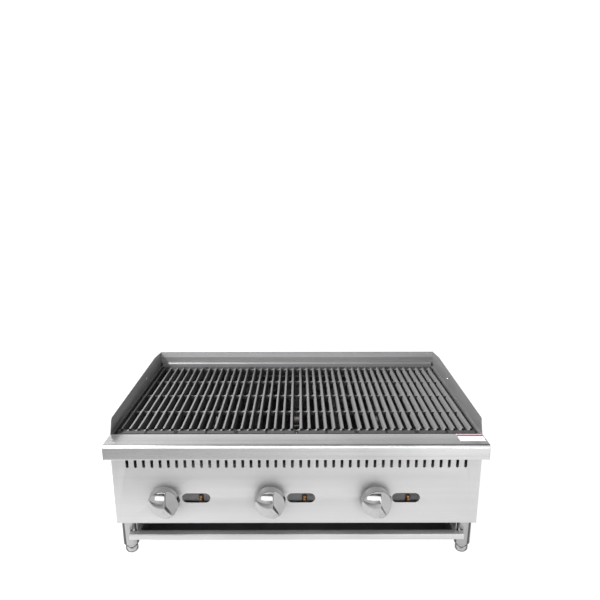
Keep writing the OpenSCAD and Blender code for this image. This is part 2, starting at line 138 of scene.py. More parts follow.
def add_sheet(bm, line, thickness, ends):
    """A bent sheet: a [y, z] line thickened to its left, drawn along X between the two ends(y)."""
    offset = []
    for i, point in enumerate(line):
        ahead = line[min(i + 1, len(line) - 1)] - line[max(i - 1, 0)]
        offset.append(point + Vector((-ahead.y, ahead.x)).normalized() * thickness)
    loop = list(line) + offset[::-1]
    sides = []
    for side in (0, 1):
        sides.append([bm.verts.new((ends(p.x)[side], p.x, p.y)) for p in loop])
    count = len(loop)
    for i in range(count):
        j = (i + 1) % count
        bm.faces.new((sides[0][i], sides[0][j], sides[1][j], sides[1][i]))
    for side in sides:
        for i in range(len(line) - 1):
            bm.faces.new((side[i], side[i + 1], side[count - 2 - i], side[count - 1 - i]))


def add_plate(bm, outlines, thickness, place):
    """A flat plate with holes and softened edges, centred on its plane. place puts it in the frame."""
    edge = 0.25 * MM
    curve = bpy.data.curves.new("outline", "CURVE")
    curve.dimensions = "2D"
    curve.fill_mode = "BOTH"
    curve.extrude = thickness / 2 - edge
    curve.bevel_depth = edge
    curve.bevel_resolution = 1
    curve.offset = -edge
    for outline in outlines:
        spline = curve.splines.new("POLY")
        spline.points.add(len(outline) - 1)
        for point, (u, v) in zip(spline.points, outline):
            point.co = (u, v, 0, 1)
        spline.use_cyclic_u = True
    holder = bpy.data.objects.new("outline", curve)
    scene.collection.objects.link(holder)
    graph = bpy.context.evaluated_depsgraph_get()
    mesh = bpy.data.meshes.new_from_object(holder.evaluated_get(graph))
    mesh.transform(place)
    bm.from_mesh(mesh)
    bpy.data.objects.remove(holder)
    bpy.data.curves.remove(curve)
    bpy.data.meshes.remove(mesh)


def upright(y):
    """Takes a plate drawn as [x, z] to the plane at y."""
    return Matrix.Translation((0, y, 0)) @ Matrix.Rotation(math.radians(90), 4, "X")


def sideways(x):
    """Takes a plate drawn as [y, z] to the plane at x."""
    turn = Matrix(((0, 0, 1, 0), (1, 0, 0, 0), (0, 1, 0, 0), (0, 0, 0, 1)))
    return Matrix.Translation((x, 0, 0)) @ turn


def add_rings(bm, rings):
    """Faces between one ring of vertices and the next. A ring of one vertex is a tip."""
    steps = max(len(ring) for ring in rings)
    for low, high in zip(rings, rings[1:]):
        for k in range(steps):
            n = (k + 1) % steps
            corners = [low[k % len(low)], low[n % len(low)], high[n % len(high)], high[k % len(high)]]
            bm.faces.new(list(dict.fromkeys(corners)))


def add_lathe(bm, profile, centre, steps=64):
    """A solid turned about Z from a [radius, height] profile, closed at its ends or as a loop."""
    rings = []
    for radius, height in profile:
        if radius == 0:
            rings.append([bm.verts.new(Vector(centre) + Vector((0, 0, height)))])
            continue
        ring = []
        for k in range(steps):
            a = 2 * math.pi * k / steps
            spoke = Vector((radius * math.cos(a), radius * math.sin(a), height))
            ring.append(bm.verts.new(Vector(centre) + spoke))
        rings.append(ring)
    add_rings(bm, rings)


def add_prism(bm, profile, y0, y1, x):
    """A closed bar: an [x, z] profile drawn along Y."""
    ends = [[bm.verts.new((x + u, y, v)) for u, v in profile] for y in (y0, y1)]
    count = len(profile)
    for i in range(count):
        j = (i + 1) % count
        bm.faces.new((ends[0][i], ends[0][j], ends[1][j], ends[1][i]))
    for end in ends:
        bm.faces.new(end)


def add_block(bm, low, high):
    """A closed block between two corners."""
    corners = bmesh.ops.create_cube(bm, size=1)["verts"]
    size, middle = Vector(high) - Vector(low), (Vector(high) + Vector(low)) / 2
    for corner in corners:
        corner.co = Vector(c * s for c, s in zip(corner.co, size)) + middle


def smoothstep(low, high, value):
    """0 at low and beyond, 1 at high and beyond, smooth between."""
    t = min(max((value - low) / (high - low), 0), 1)
    return t * t * (3 - 2 * t)


# ---------- material helpers ----------

class Shader:
    """A Principled material with short names for its nodes."""

    def __init__(self, name, **sockets):
        self.material = bpy.data.materials.new(name)
        self.material.use_nodes = True
        self.tree = self.material.node_tree
        self.bsdf = self.tree.nodes["Principled BSDF"]
        self.where = self.node("ShaderNodeTexCoord").outputs["Object"]
        for socket, value in sockets.items():
            self.bsdf.inputs[socket.replace("_", " ")].default_value = value

    def node(self, kind, **settings):
        made = self.tree.nodes.new(kind)
        for key, value in settings.items():
            setattr(made, key, value)
        return made

    def link(self, source, target):
        self.tree.links.new(source, target)

    def split(self, vector):
        """The X, Y and Z outputs of a vector."""
        made = self.node("ShaderNodeSeparateXYZ")
        self.link(vector, made.inputs[0])
        return made.outputs

    def noise(self, scale, stretch=(1, 1, 1), detail=4.0):
        """Noise in the object's own metres, finer with a larger scale or stretch."""
        mapping = self.node("ShaderNodeMapping")
        mapping.inputs["Scale"].default_value = stretch
        self.link(self.where, mapping.inputs["Vector"])
        texture = self.node("ShaderNodeTexNoise")
        texture.inputs["Scale"].default_value = scale
        texture.inputs["Detail"].default_value = detail
        texture.inputs["Roughness"].default_value = 0.55
        self.link(mapping.outputs["Vector"], texture.inputs["Vector"])
        return texture.outputs["Fac"]

    def ramp(self, value, low, high, out_low=0.0, out_high=1.0, smooth=True):
        """Takes a value from one range to another, and holds it at the ends."""
        made = self.node("ShaderNodeMapRange")
        made.interpolation_type = "SMOOTHSTEP" if smooth else "LINEAR"
        for key, number in (("From Min", low), ("From Max", high), ("To Min", out_low), ("To Max", out_high)):
            made.inputs[key].default_value = number
        self.link(value, made.inputs["Value"])
        return made.outputs["Result"]

    def mix(self, factor, first, second):
        """Mixes two colours, each a colour or a socket."""
        made = self.node("ShaderNodeMix", data_type="RGBA")
        self.link(factor, made.inputs["Factor"])
        for key, colour in (("A", first), ("B", second)):
            socket = [s for s in made.inputs if s.name == key and s.type == "RGBA"][0]
            if isinstance(colour, tuple):
                socket.default_value = (*colour, 1)
            else:
                self.link(colour, socket)
        return [s for s in made.outputs if s.type == "RGBA"][0]

    def math(self, operation, first, second):
        made = self.node("ShaderNodeMath", operation=operation)
        for socket, value in zip(made.inputs, (first, second)):
            if isinstance(value, (int, float)):
                socket.default_value = value
            else:
                self.link(value, socket)
        return made.outputs[0]

    def bump(self, height, distance, strength=1.0, after=None):
        made = self.node("ShaderNodeBump")
        made.inputs["Distance"].default_value = distance
        made.inputs["Strength"].default_value = strength
        self.link(height, made.inputs["Height"])
        if after:
            self.link(after, made.inputs["Normal"])
        return made.outputs["Normal"]

    def use(self, socket, source):
        self.link(source, self.bsdf.inputs[socket])


def shade(colour, factor):
    """A colour made darker or lighter."""
    return tuple(min(c * factor, 1) for c in colour)


def steel(name, colour, rough, along="x", depth=0.012 * MM, streaks=0.08, clouds=0.05, metallic=1.0):
    """Brushed sheet steel: fine grain along one axis, faint streaks and clouds, uneven gloss."""
    made = Shader(name, Metallic=metallic)
    stretch = {"x": (0.012, 1, 1), "y": (1, 0.012, 1)}[along]
    grain = made.noise(1400, stretch, 3.0)
    streak = made.noise(90, stretch, 5.0)
    cloud = made.noise(5, detail=3.0)
    streak_tone = made.ramp(streak, 0.3, 0.7, -streaks, streaks)
    cloud_tone = made.ramp(cloud, 0.3, 0.7, -clouds, clouds)
    lightness = made.ramp(made.math("ADD", streak_tone, cloud_tone), -0.2, 0.2, smooth=False)
    made.use("Base Color", made.mix(lightness, shade(colour, 0.8), shade(colour, 1.2)))
    made.use("Roughness", made.ramp(grain, 0.25, 0.75, rough - 0.05, rough + 0.06))
    made.use("Normal", made.bump(grain, depth))
    return made.material


def cast_iron():
    """Grainy black cast iron: flanks facing left painted grey as if lit from the left, bar tops worn bright,
    aprons painted near black as shade.
    """
    made = Shader("cast_iron")
    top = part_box("grate_1")[1].z
    seam = 0.5 * MM
    sand = made.noise(900, detail=4.0)
    pits = made.noise(260, detail=5.0)
    stains = made.noise(24, detail=4.0)
    normal = made.split(made.node("ShaderNodeNewGeometry").outputs["Normal"])
    place = made.split(made.where)

    facing_up = made.ramp(normal["Z"], 0.7, 0.97)
    near_top = made.ramp(place["Z"], top - 6 * MM, top - 3 * MM)
    rubbed = made.ramp(pits, 0.2, 0.5, 0.6, 1.0)
    worn = made.math("MULTIPLY", made.math("MULTIPLY", facing_up, near_top), rubbed)
    # Painted shade: both aprons are painted near black, with little specular, as if they were unlit.
    front_apron = made.ramp(place["Y"], GRATE_FRONT - seam, GRATE_FRONT + seam, 1.0, 0.0)
    rear_apron = made.ramp(place["Y"], GRATE_BACK - seam, GRATE_BACK + seam)
    apron_painted_shade = made.math("ADD", front_apron, rear_apron)

    black = made.mix(made.ramp(stains, 0.35, 0.7), (0.018, 0.0175, 0.0185), (0.03, 0.029, 0.03))
    # Painted light: flanks that face left are lighter grey, as if lit by the key from the left; flanks facing
    # right stay black.
    lit_side_mask = made.ramp(normal["X"], -0.35, 0.1, 1.0, 0.0)
    flanks_with_painted_light = made.mix(lit_side_mask, black, (0.14, 0.137, 0.14))
    towards_back = made.ramp(place["Y"], FRONT + 400 * MM, FRONT + 600 * MM)
    bright = made.mix(towards_back, (0.27, 0.263, 0.27), (0.15, 0.146, 0.15))
    made.use("Base Color", made.mix(worn, made.mix(apron_painted_shade, flanks_with_painted_light, (0.02, 0.02, 0.02)), bright))
    made.use("Metallic", made.math("MULTIPLY", worn, 0.8))
    made.use("Specular IOR Level", made.ramp(apron_painted_shade, 0.0, 1.0, 0.13, 0.03))
    made.use("Roughness", made.ramp(sand, 0.3, 0.7, 0.4, 0.58))
    rough = made.bump(pits, 0.35 * MM, 0.6)
    made.use("Normal", made.bump(sand, 0.12 * MM, 0.7, rough))
    return made.material


def polished(name, colour, rough):
    """Polished or plated metal with a faint ripple and hazy patches."""
    made = Shader(name, Metallic=1.0)
    haze = made.noise(60, detail=3.0)
    ripples = made.noise(220, detail=2.0)
    made.use("Base Color", made.mix(made.ramp(haze, 0.3, 0.7), shade(colour, 0.93), colour))
    made.use("Roughness", made.ramp(haze, 0.3, 0.7, rough, rough + 0.07))
    made.use("Normal", made.bump(ripples, 0.004 * MM))
    return made.material


def turned(name, bright, face, rim, rough):
    """Polished round stock with painted reflection: darker where it faces the eye and along its rims, with a
    painted bright band between.
    """
    made = Shader(name, Metallic=1.0)
    facing = made.node("ShaderNodeLayerWeight").outputs["Facing"]
    haze = made.noise(60, detail=3.0)
    grain = made.noise(900, (1, 1, 0.02), 3.0)
    # Painted reflection: the base colour changes with the angle to the eye, a dark face, a bright band and
    # dark rims.
    middle = made.mix(made.ramp(facing, 0.06, 0.15), face, bright)
    made.use("Base Color", made.mix(made.ramp(facing, 0.33, 0.46), middle, rim))
    made.use("Roughness", made.ramp(haze, 0.3, 0.7, rough, rough + 0.07))
    made.use("Normal", made.bump(grain, 0.004 * MM))
    return made.material


def dull(name, colour, rough, metallic, depth=0.05 * MM, spread=0.12):
    """Paint, black pipe or pressed steel: a slightly uneven, grainy surface."""
    made = Shader(name, Metallic=metallic)
    grain = made.noise(420, detail=4.0)
    patch = made.noise(14, detail=4.0)
    darker, lighter = shade(colour, 1 - spread), shade(colour, 1 + spread)
    made.use("Base Color", made.mix(made.ramp(patch, 0.3, 0.7), darker, lighter))
    made.use("Roughness", made.ramp(grain, 0.3, 0.7, rough - 0.06, rough + 0.08))
    made.use("Normal", made.bump(grain, depth, 0.6))
    return made.material


def baffle_steel():
    """Zinc-coated plate, painted black above the valves as the shade seen through the vents."""
    made = Shader("baffle_steel", Roughness=0.5)
    clouds = made.noise(30, detail=3.0)
    zinc = made.mix(made.ramp(clouds, 0.3, 0.7), (0.7, 0.7, 0.7), (0.85, 0.85, 0.86))
    # Painted shade: black from 215 mm up, where the vents look in.
    vent_shade_mask = made.ramp(made.split(made.where)["Z"], 215 * MM, 240 * MM)
    made.use("Base Color", made.mix(vent_shade_mask, zinc, (0.03, 0.03, 0.03)))
    made.use("Normal", made.bump(made.noise(500, detail=3.0), 0.03 * MM))
    return made.material


def label_film():
    """A blank white label with one plain coloured band."""
    low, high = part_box("ledge_label")
    blur, margin = 0.4 * MM, 3 * MM
    band_low, band_high = high.y - 0.3 * (high.y - low.y), high.y - margin
    made = Shader("label_film", Coat_Weight=0.15)
    y = made.split(made.where)["Y"]
    above = made.ramp(y, band_low - blur, band_low + blur)
    below = made.ramp(y, band_high - blur, band_high, 1.0, 0.0)
    fibre = made.noise(500, detail=3.0)
    paper = made.mix(made.ramp(fibre, 0.3, 0.7), (0.56, 0.53, 0.54), (0.62, 0.6, 0.61))
    made.use("Base Color", made.mix(made.math("MULTIPLY", above, below), paper, (0.2, 0.012, 0.045)))
    made.use("Roughness", made.ramp(fibre, 0.3, 0.7, 0.32, 0.42))
    return made.material


def floor_paper():
    """Paper that glows white by emission over a grey base: fully around the object, and less and less to the
    left in front of it.
    """
    made = Shader("floor_paper", Base_Color=(0.12, 0.12, 0.12, 1), Roughness=0.9)
    made.bsdf.inputs["Emission Color"].default_value = (1, 1, 1, 1)
    place = made.split(made.where)
    in_front = made.ramp(place["X"], -1.0, 0.9, 0.06, 0.84)
    around = made.ramp(place["Y"], -0.85, -0.6, 0.0, 0.97)
    made.use("Emission Strength", made.math("MAXIMUM", in_front, around))
    return made.material


MATERIALS = {
    "stainless_sheet": steel("stainless_sheet", (0.665, 0.665, 0.67), 0.3),
    "stainless_panel": steel("stainless_panel", (0.59, 0.585, 0.59), 0.48, streaks=0.02, clouds=0.015,
                             depth=0.006 * MM, metallic=0.7),
    # Painted shade: a darker copy of the stainless sheet for the side panels and splash guards, standing in
    # for the shade on their inner faces.
    "shaded_side_sheet": steel("shaded_side_sheet", (0.26, 0.26, 0.265), 0.46, along="y", metallic=0.82),
    "guard_sheet": steel("guard_sheet", (0.36, 0.36, 0.365), 0.56),
    "liner_steel": dull("liner_steel", (0.22, 0.22, 0.215), 0.5, 0.8),
    "frame_steel": dull("frame_steel", (0.2, 0.2, 0.205), 0.5, 0.4),
    "baffle_steel": baffle_steel(),
    "burner_steel": steel("burner_steel", (0.5, 0.48, 0.45), 0.36, along="y"),
    "radiant_steel": dull("radiant_steel", (0.09, 0.088, 0.088), 0.55, 0.5, spread=0.25),
    "cast_iron": cast_iron(),
    "pipe_iron": dull("pipe_iron", (0.75, 0.75, 0.76), 0.16, 1.0, depth=0.01 * MM),
    "valve_brass": polished("valve_brass", (0.5, 0.33, 0.2), 0.24),
    "pilot_tube_aluminium": steel("pilot_tube_aluminium", (0.72, 0.72, 0.73), 0.32, along="y"),
    "knob_chrome": polished("knob_chrome", (0.47, 0.47, 0.47), 0.12),
    "stem_steel": steel("stem_steel", (0.6, 0.6, 0.6), 0.25, along="y"),
    # The legs and feet get painted reflection: dark where they face the eye and at their rims, a bright band
    # between.
    "leg_steel": turned("leg_steel", (0.4, 0.4, 0.405), (0.16, 0.16, 0.16), (0.06, 0.06, 0.06), 0.18),
    "foot_steel": turned("foot_steel", (0.45, 0.45, 0.455), (0.2, 0.2, 0.2), (0.09, 0.09, 0.09), 0.18),
    "tray_steel": steel("tray_steel", (0.56, 0.56, 0.565), 0.42, metallic=0.65),
    # Painted shade: the pan is near black, standing in for the shade under the control panel; the lip keeps
    # the tray steel.
    "shaded_tray_pan": dull("shaded_tray_pan", (0.1, 0.1, 0.105), 0.5, 0.6),
    "screw_steel": polished("screw_steel", (0.62, 0.62, 0.62), 0.22),
    "label_film": label_film(),
}


# ---------- body sheets ----------

def rail_ends(y):
    """The rail is full width; beside the splash guards the ledge lies between them."""
    half = HALF_W if y < FOOT_Y else INNER_W
    return -half, half


def build_front_rail():
    """Bullnose rail and ledge in one bent sheet, with welded end caps."""
    bottom, nose, fold_r, hem = rail_low.z, 9 * MM, 2.5 * MM, 10 * MM
    hair = 0.01 * MM
    line = rounded([(PANEL_Y, bottom), (FRONT, bottom), (FRONT, LEDGE_Z), (LEDGE_BACK, LEDGE_Z),
                    (LEDGE_BACK, LEDGE_Z - hem)], [fold_r, nose, fold_r], 10)
    at = [i for i, p in enumerate(line) if p.x < FOOT_Y][-1]
    line[at + 1:at + 1] = [Vector((FOOT_Y - hair, LEDGE_Z)), Vector((FOOT_Y + hair, LEDGE_Z))]
    bm = bmesh.new()
    add_sheet(bm, line[::-1], SHEET, rail_ends)
    cap = [(PANEL_Y, LEDGE_Z)] + arc((FRONT + nose, LEDGE_Z - nose), nose, 90, 180, 10)
    cap += [(FRONT, bottom), (PANEL_Y, bottom)]
    for sign in (-1, 1):
        add_plate(bm, [cap], SHEET, sideways(sign * (HALF_W - SHEET / 2)))
    stand_for(finish_mesh(bm, "front_rail_sheet", 50), "chassis", "stainless_sheet", "front_rail")


def slot_outline(x, z, length, width, upright_slot=False):
    """Outline of a slot with round ends."""
    reach = (length - width) / 2
    outline = [(x + reach + u, z + v) for u, v in arc((0, 0), width / 2, -90, 90, 10)]
    outline += [(x - reach + u, z + v) for u, v in arc((0, 0), width / 2, 90, 270, 10)]
    if upright_slot:
        outline = [(x + v - z, z + u - x) for u, v in outline]
    return outline


def fold_ends(y):
    """Where the fold under the panel starts and ends: behind the panel it is between the side panels."""
    half = HALF_W if y < PANEL_Y + SHEET else INNER_W
    return -half, half


def build_front_panel():
    """Control panel with its vents, stem holes and lighting windows, folded back at the bottom."""
    vents, pitch, vent_w, vent_len = 42, 20.4 * MM, 7 * MM, 36 * MM
    vent_z = 257 * MM + vent_len / 2
    window_dx, window_len, window_h, stem_hole_r = 77 * MM, 71 * MM, 26 * MM, 7 * MM
    fold_r, fold_depth = 3 * MM, 20 * MM
    top = LEDGE_Z - SHEET
    outlines = [[(-HALF_W, BASE_Z + fold_r), (HALF_W, BASE_Z + fold_r), (HALF_W, top), (-HALF_W, top)]]
    for i in range(vents):
        outlines.append(slot_outline((i - (vents - 1) / 2) * pitch, vent_z, vent_len, vent_w, True))
    for side in SIDES:
        low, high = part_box("valve_stem_" + side)
        x, z = (low.x + high.x) / 2, (low.z + high.z) / 2
        outlines.append(arc((x, z), stem_hole_r, 0, 350, 35))
        outlines.append(slot_outline(x + window_dx, z, window_len, window_h))
    bm = bmesh.new()
    add_plate(bm, outlines, SHEET, upright(PANEL_Y + SHEET / 2))
    fold = [(PANEL_Y, BASE_Z + fold_r), (PANEL_Y, BASE_Z), (PANEL_Y + fold_depth, BASE_Z)]
    add_sheet(bm, rounded(fold, [fold_r * 0.98], 8), SHEET, fold_ends)
    stand_for(finish_mesh(bm, "control_panel_sheet", 40), "chassis", "stainless_panel", "front_panel")


def build_side_panels():
    """Side panels whose tops are the splash guards."""
    corner_y, peak_y, corner_r = FRONT + 87 * MM, BACK - 95 * MM, 10 * MM
    corner_z, peak_z = 377 * MM, guard_high.z
    slant = math.atan2(corner_z - LEDGE_Z, corner_y - FOOT_Y)
    rise = math.atan2(peak_z - corner_z, peak_y - corner_y)
    reach = corner_r * math.tan((slant - rise) / 2)
    centre = (corner_y + reach * math.cos(rise) + corner_r * math.sin(rise),
              corner_z + reach * math.sin(rise) - corner_r * math.cos(rise))
    outline = [(BACK, BASE_Z), (BACK, TOP_Z), (BACK - 6 * MM, TOP_Z), (peak_y, peak_z)]
    outline += arc(centre, corner_r, 90 + math.degrees(rise), 90 + math.degrees(slant), 8)
    outline += [(FOOT_Y, LEDGE_Z), (FOOT_Y, LEDGE_Z - SHEET), (PANEL_Y + SHEET, LEDGE_Z - SHEET)]
    outline += [(PANEL_Y + SHEET, BASE_Z)]
    # Each side panel wears the darker copy of the stainless sheet: painted shade.
    for sign, name in ((-1, "left"), (1, "right")):
        bm = bmesh.new()
        add_plate(bm, [outline], SHEET, sideways(sign * (HALF_W - SHEET / 2)))
        stand_for(finish_mesh(bm, name + "_shaded_side_sheet", 40), "chassis", "stainless_sheet",
                  name + "_side_panel", look="shaded_side_sheet")


# ---------- grates ----------

def build_grates():
    """Cast-iron grates: wedge bars with rounded tops, scalloped ribs and an apron at each end."""
    bars, pitch, ribs = 7, 20.9 * MM, 5
    top_half, foot_half, edge = 2.5 * MM, 5.5 * MM, 1.3 * MM
    rib_w, rib_drop, rib_dip, rib_lift = 8 * MM, 2 * MM, 4 * MM, 8 * MM
    overlap = 3 * MM
    for number in range(1, 7):
        node = "grate_%d" % number
        low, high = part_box(node)
        middle, base, top = (low.x + high.x) / 2, low.z, high.z
        lean = (foot_half - top_half) / (top - base)
        shoulder = top - edge
        profile = [(-foot_half, base), (foot_half, base)]
        profile += [(top_half + lean * edge - edge * (1 - math.cos(a)) * 0.9, shoulder + edge * math.sin(a))
                    for a in QUARTER]
        profile += [(-u, v) for u, v in profile[:1:-1]]
        bm = bmesh.new()
        for k in range(bars):
            add_prism(bm, profile, GRATE_FRONT, GRATE_BACK, middle + (k - (bars - 1) / 2) * pitch)
        step = (GRATE_BACK - GRATE_FRONT - rib_w) / (ribs - 1)
        reach = (high.x - low.x) / 2
        crest, parts = [], 6
        for k in range(bars):
            x = (k - (bars - 1) / 2) * pitch
            left = -reach if k == 0 else x - pitch / 2
            right = reach if k == bars - 1 else x + pitch / 2
            for t in range(parts + 1):
                crest.append((left + (x - top_half - left) * t / parts, scallop(t / parts)))
            for t in range(parts, -1, -1):
                crest.append((right + (x + top_half - right) * t / parts, scallop(t / parts)))
        edge_line = [(x, top - rib_drop - rib_dip * (1 - up)) for x, up in crest]
        for r in range(ribs):
            foot = base if r in (0, ribs - 1) else base + rib_lift
            add_rib(bm, edge_line, middle, GRATE_FRONT + r * step, rib_w, foot)
        add_apron(bm, low.x, high.x, low.y, GRATE_FRONT + overlap, top)
        add_apron(bm, low.x, high.x, high.y, GRATE_BACK - overlap, top)
        stand_for(finish_mesh(bm, node + "_casting", 30, 0.5 * MM), node, "cast_iron", node)


def scallop(t):
    """Height of a rib's top edge from the middle of a gap (0) to the side of a bar (1)."""
    return 1 - math.sqrt(max(1 - t * t, 0))


def add_rib(bm, crest, middle, y0, width, foot):
    """A closed cross rib with a scalloped, softened top edge, given as an [x, z] line."""
    soft = 1 * MM
    y1 = y0 + width
    rows = [(y0, None), (y0, -soft), (y0 + soft, 0), (y1 - soft, 0), (y1, -soft), (y1, None)]
    grid = []
    for y, drop in rows:
        grid.append([bm.verts.new((middle + x, y, foot if drop is None else z + drop)) for x, z in crest])
    for a in range(len(rows)):
        b = (a + 1) % len(rows)
        for i in range(len(crest) - 1):
            bm.faces.new((grid[a][i], grid[a][i + 1], grid[b][i + 1], grid[b][i]))
    for i in (0, -1):
        bm.faces.new([row[i] for row in grid])


def add_apron(bm, x0, x1, edge_y, bar_y, top):
    """A sloped apron at one end of a grate, with two raised pads along it."""
    lip, high = LEDGE_Z - 2 * MM, top - 6 * MM
    outline = [(bar_y, high), (edge_y, lip), (edge_y, lip - 7 * MM), (bar_y, lip - 10 * MM)]
    ends = [[bm.verts.new((x, y, z)) for y, z in outline] for x in (x0, x1)]
    for i in range(4):
        j = (i + 1) % 4
        bm.faces.new((ends[0][i], ends[0][j], ends[1][j], ends[1][i]))
    for end in ends:
        bm.faces.new(end)
    slope = (high - lip) / (bar_y - edge_y)
    inward = math.copysign(1, bar_y - edge_y)
    rise, sunk, pads, gap = 0.7 * MM, 1 * MM, 2, 5 * MM
    y0, y1 = edge_y + inward * 2.5 * MM, bar_y - inward * 4 * MM
    width = (x1 - x0 - gap * (pads + 1)) / pads
    for k in range(pads):
        a = x0 + gap + k * (width + gap)
        corners = []
        for dz in (-sunk, rise):
            for x, y in ((a, y0), (a + width, y0), (a + width, y1), (a, y1)):
                corners.append(bm.verts.new((x, y, lip + (y - edge_y) * slope + dz)))
        for face in ((0, 1, 2, 3), (4, 5, 6, 7), (0, 1, 5, 4), (1, 2, 6, 5), (2, 3, 7, 6), (3, 0, 4, 7)):
            bm.faces.new([corners[i] for i in face])


# ---------- knobs ----------

def knob_height(u, v):
    """Height of the knob's face above its back: a dome, flats beside the pointer bar, and a groove."""
    depth, dome_r = 43 * MM, 52 * MM
    bar, fan, fan_y, slope, flat = 8 * MM, math.radians(32), -3 * MM, math.radians(20), 28 * MM
    groove_depth = 0.9 * MM
    dome = depth - dome_r + math.sqrt(max(dome_r ** 2 - u * u - v * v, 0))
    beside = abs(u) - bar
    if v > fan_y:
        beside = (abs(u) - bar - (v - fan_y) * math.tan(fan)) * math.cos(fan)
    plane = flat - (abs(u) - bar) * math.tan(slope)
    cut = smoothstep(-0.7 * MM, 1.3 * MM, beside)
    height = dome + (min(dome, plane) - dome) * cut
    groove = smoothstep(1.5 * MM, 0.9 * MM, abs(u)) * smoothstep(-6 * MM, -8 * MM, v)
    return height - groove_depth * groove


def build_knobs():
    """Polished knobs: each face is a fine disc of heights, closed by its rounded skirt."""
    radius, shoulder, tilt = 38.6 * MM, 37 * MM, math.radians(30)
    rings, steps, rim_drop = 84, 240, 0.7 * MM
    wall, bore, hollow = 4 * MM, 9 * MM, 8 * MM
    skirt = ((0.35 * MM, 1.2 * MM), (0.75 * MM, 4 * MM))
    underside = ((radius - 0.4 * MM, 3 * MM), (radius, 1.2 * MM), (radius - 0.3 * MM, 0.3 * MM),
                 (radius - 1 * MM, 0), (radius - wall, 0), (radius - wall, hollow), (bore, hollow), (bore, 0))
    turns = [2 * math.pi * k / steps for k in range(steps)]
    for side in SIDES:
        low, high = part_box("knob_" + side)
        centre = Vector(((low.x + high.x) / 2, high.y, (low.z + high.z) / 2))
        bm = bmesh.new()

        def at(r, a, h):
            x, z = r * math.cos(a + tilt), r * math.sin(a + tilt)
            return bm.verts.new(centre + Vector((x, -h, z)))

        def face_height(r, a):
            return knob_height(r * math.cos(a), r * math.sin(a))

        heart = at(0, 0, knob_height(0, 0))
        loops = []
        for i in range(1, rings + 1):
            r, drop = shoulder * i / rings, rim_drop if i == rings else 0
            loops.append([at(r, a, face_height(r, a) - drop) for a in turns])
        for out, down in skirt:
            loops.append([at(shoulder + out, a, face_height(shoulder, a) - rim_drop - down) for a in turns])
        for r, h in underside:
            loops.append([at(r, a, h) for a in turns])
        for k in range(steps):
            bm.faces.new((heart, loops[0][k], loops[0][(k + 1) % steps]))
        for inner, outer in zip(loops, loops[1:]):
            for k in range(steps):
                n = (k + 1) % steps
                bm.faces.new((inner[k], outer[k], outer[n], inner[n]))
        bm.faces.new(loops[-1])
        node = "knob_" + side
        stand_for(finish_mesh(bm, node + "_casting", 50), node, "knob_chrome", node)


# ---------- legs and tray ----------

def build_legs():
    """Polished leg tubes with a rounded foot end, and bullet feet with a fine groove."""
    for end in ENDS:
        low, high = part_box("leg_" + end)
        x, y, r = (low.x + high.x) / 2, (low.y + high.y) / 2, (high.x - low.x) / 2
        bore, bore_depth, edge, plug, stud = 8.3 * MM, 12 * MM, 2 * MM, 0.6 * MM, 6 * MM
        profile = [(0, low.z + bore_depth), (bore, low.z + bore_depth), (bore, low.z)]
        profile += [(r - edge + edge * math.sin(a), low.z + edge - edge * math.cos(a)) for a in QUARTER]
        profile += [(r, BASE_Z - plug), (r - plug, BASE_Z), (stud, BASE_Z), (stud, high.z - 1 * MM),
                    (stud - 1 * MM, high.z), (0, high.z)]
        bm = bmesh.new()
        add_lathe(bm, profile, (x, y, 0))
        stand_for(finish_mesh(bm, "leg_%s_tube" % end, 40), "chassis", "leg_steel", "leg_" + end)

        low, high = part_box("foot_" + end)
        r, top, stud, groove_z = (high.x - low.x) / 2, 23 * MM, 8 * MM, 17.6 * MM
        profile = [(0, 0), (r - 3.4 * MM, 0), (r - 2.6 * MM, 0.7 * MM), (r - 0.5 * MM, 4 * MM), (r, 5.2 * MM),
                   (r, groove_z - 0.6 * MM), (r - 0.5 * MM, groove_z), (r, groove_z + 0.6 * MM),
                   (r, top - 1 * MM), (r - 1 * MM, top), (stud, top), (stud, high.z - 1 * MM),
                   (stud - 1 * MM, high.z), (0, high.z)]
        bm = bmesh.new()
        add_lathe(bm, profile, (x, y, 0))
        stand_for(finish_mesh(bm, "foot_%s_turned" % end, 40), "foot_" + end, "foot_steel", "foot_" + end)


def build_tray():
    """Drip tray: a pan with rounded corners, a rim flange on three sides and a folded front lip."""
    t, rim, corner_r = 1.2 * MM, tray_high.z, 5 * MM
    half, flange, lip_half = 405 * MM, 411.8 * MM, tray_high.x
    y0, y1, floor_z = FRONT + 79.5 * MM, tray_high.y, tray_low.z
    lip_y, lip_back, drop, hem = tray_low.y, FRONT + 76.2 * MM, 16 * MM, 8 * MM
    bm = bmesh.new()
    add_block(bm, (-half, y0, floor_z), (half, y1, rim))
    lid = [f for f in bm.faces if f.normal.z > 0.9]
    bmesh.ops.delete(bm, geom=lid, context="FACES")
    folds = [e for e in bm.edges if len(e.link_faces) == 2]
    bmesh.ops.bevel(bm, geom=folds, offset=corner_r, segments=4, affect="EDGES", profile=0.5)
    pan = finish_mesh(bm, "drip_tray_pan", 50)
    shell = pan.modifiers.new("shell", "SOLIDIFY")
    shell.thickness = t
    shell.offset = -1
    # The pan wears painted shade: near black.
    stand_for(pan, "drip_tray", "tray_steel", "drip_tray", look="shaded_tray_pan")

    bm = bmesh.new()
    lip = [(lip_y + hem, rim - drop), (lip_y, rim - drop), (lip_y, rim), (lip_back, rim)]
    add_sheet(bm, rounded(lip, [2 * MM, 2.5 * MM])[::-1], t, lambda y: (-lip_half, lip_half))
    add_block(bm, (-flange, lip_back - 1 * MM, rim - t), (flange, y0 + t, rim))
    for sign in (-1, 1):
        a, b = sorted((sign * (half - t), sign * flange))
        add_block(bm, (a, y0, rim - t), (b, y1, rim))
    stand_for(finish_mesh(bm, "drip_tray_lip", 50, 0.25 * MM), "drip_tray", "tray_steel")


# ---------- small pieces ----------

